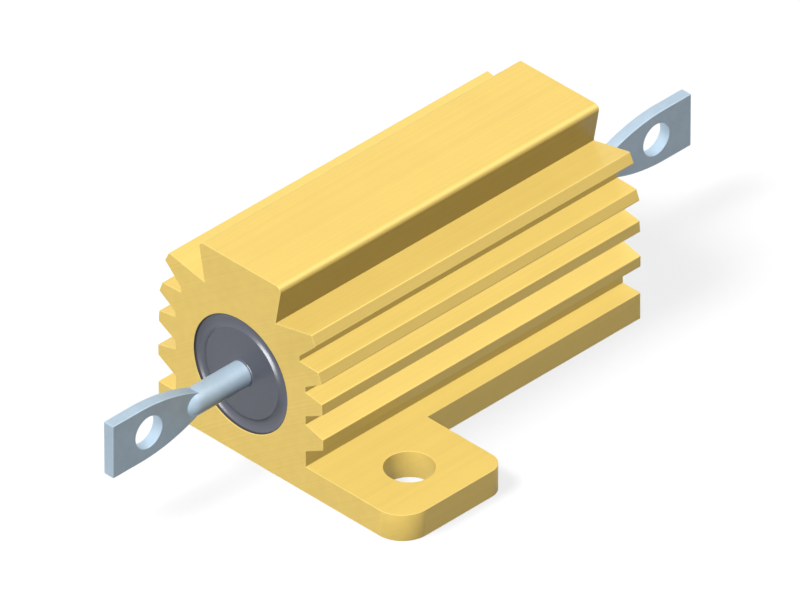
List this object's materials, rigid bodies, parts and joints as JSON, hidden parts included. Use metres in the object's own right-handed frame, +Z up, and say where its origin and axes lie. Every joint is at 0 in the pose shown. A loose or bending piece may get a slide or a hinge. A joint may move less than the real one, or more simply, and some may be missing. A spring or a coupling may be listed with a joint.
{
  "type": "wirewound power resistor",
  "caption": "Chassis-mount wirewound resistor: finned aluminium housing with diagonal screw feet, a moulded-in element and a flat eye terminal at each end.",
  "frame": {"origin": "middle of the housing's underside, midway between the two terminals and the two feet", "axes": "+X along the terminals and the housing's bore, towards the back terminal; +Y across, towards the back foot; +Z up, away from the surface that the base is screwed to"},
  "size_m": [0.0492, 0.0274, 0.014],
  "materials": {
    "anodised_housing": "satin gold anodised, with fine draw lines along the fins and sawn ends",
    "moulding_compound": "smooth dark grey moulding compound with a low sheen",
    "core_ceramic": "unglazed",
    "resistance_wire": "drawn wire",
    "cap_steel": "plated, pressed",
    "terminal_tin": "tinned, satin"
  },
  "bodies": {
    "root": {"housing": "anodised_housing", "moulding": "moulding_compound", "ceramic_core": "core_ceramic", "winding": "resistance_wire", "end_cap_front": "cap_steel", "end_cap_back": "cap_steel", "terminal_front": "terminal_tin", "terminal_back": "terminal_tin"}
  },
  "joints": []
}
